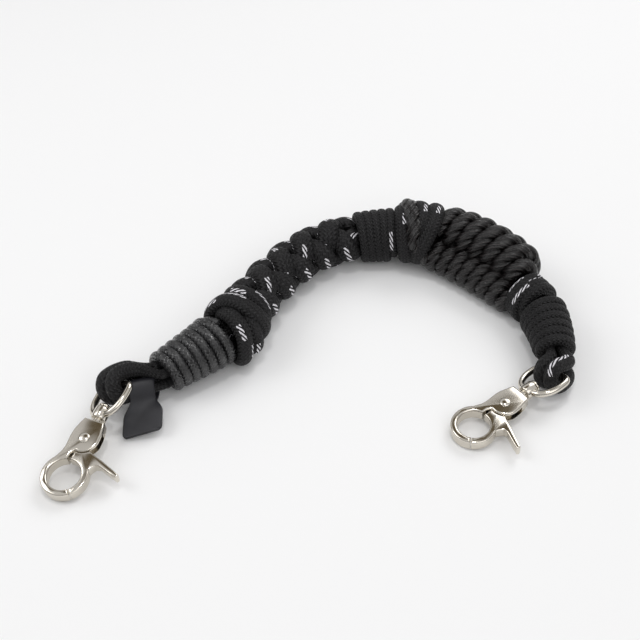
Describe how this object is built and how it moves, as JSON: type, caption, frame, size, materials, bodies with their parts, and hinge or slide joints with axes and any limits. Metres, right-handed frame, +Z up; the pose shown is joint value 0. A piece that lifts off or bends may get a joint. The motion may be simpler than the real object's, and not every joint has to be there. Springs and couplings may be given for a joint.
{
  "type": "lead rope",
  "caption": "Short lead rope of knotted, braided and whipped black cord with white tracer, with a swivelling trigger hook at each end and a leather tag folded on one loop.",
  "frame": {"origin": "middle of the footprint, on the plane the rope lies on", "axes": "+X from the left hook towards the right hook, +Y towards the crown of the rope's arch, +Z up"},
  "size_m": [0.1794, 0.1332, 0.0224],
  "materials": {
    "braided_cord": "round braided synthetic cord, black with a white tracer",
    "waxed_cord": "waxed black cord, slightly glossy",
    "satin_cord": "three-ply satin twisted cord, black",
    "tag_leather": "smooth black leather",
    "nickel_plate": "polished nickel plate",
    "spring_steel": "spring wire"
  },
  "bodies": {
    "rope": {"left_cord_front": "braided_cord", "left_cord_back": "braided_cord", "right_core_cord": "braided_cord", "right_loop_cord": "braided_cord", "cone_whipping": "waxed_cord", "stopper_knot": "braided_cord", "middle_wraps": "braided_cord", "loop_collar": "braided_cord", "outer_satin_winding": "satin_cord", "inner_satin_winding": "satin_cord", "tracer_collar": "braided_cord", "end_whipping": "braided_cord"},
    "tag": {"leather_tag": "tag_leather"},
    "left_eye": {"left_swivel_eye": "nickel_plate"},
    "left_hook": {"left_hook_body": "nickel_plate", "left_rivet": "nickel_plate", "left_gate_spring": "spring_steel", "left_swivel_post": "nickel_plate"},
    "left_gate": {"left_gate": "nickel_plate"},
    "right_eye": {"right_swivel_eye": "nickel_plate"},
    "right_hook": {"right_hook_body": "nickel_plate", "right_rivet": "nickel_plate", "right_gate_spring": "spring_steel", "right_swivel_post": "nickel_plate"},
    "right_gate": {"right_gate": "nickel_plate"}
  },
  "joints": [
    {"name": "left_eye_hinge", "type": "hinge", "parent": "rope", "child": "left_eye", "pos_m": [-0.06882, -0.02503, 0.01064], "axis": [0.7568, -0.3953, 0.5207], "range_deg": [-60, 20]},
    {"name": "left_hook_swivel", "type": "hinge", "parent": "left_eye", "child": "left_hook", "pos_m": [-0.07315, -0.03632, 0.00835], "axis": [0.3512, 0.9176, 0.1861], "continuous": true},
    {"name": "left_gate_hinge", "type": "hinge", "parent": "left_hook", "child": "left_gate", "pos_m": [-0.0769, -0.04613, 0.00636], "axis": [-0.0665, -0.1738, 0.9825], "range_deg": [0, 32], "stiffness_Nm_per_rad": 0.03, "springref_deg": -28.65, "deforming": ["left_gate_spring"]},
    {"name": "right_eye_hinge", "type": "hinge", "parent": "rope", "child": "right_eye", "pos_m": [0.08091, -0.01606, 0.00737], "axis": [0.5224, -0.7956, 0.3069], "range_deg": [-60, 60]},
    {"name": "right_hook_swivel", "type": "hinge", "parent": "right_eye", "child": "right_hook", "pos_m": [0.07096, -0.02315, 0.00594], "axis": [0.8089, 0.5762, 0.1168], "continuous": true},
    {"name": "right_gate_hinge", "type": "hinge", "parent": "right_hook", "child": "right_gate", "pos_m": [0.0623, -0.02931, 0.00469], "axis": [-0.0952, -0.0678, 0.9932], "range_deg": [0, 32], "stiffness_Nm_per_rad": 0.03, "springref_deg": -28.65, "deforming": ["right_gate_spring"]},
    {"name": "tag_hinge", "type": "hinge", "parent": "rope", "child": "tag", "pos_m": [-0.06022, -0.02388, 0.0073], "axis": [0.8516, 0.4709, -0.2304], "range_deg": [-15, 10]}
  ]
}
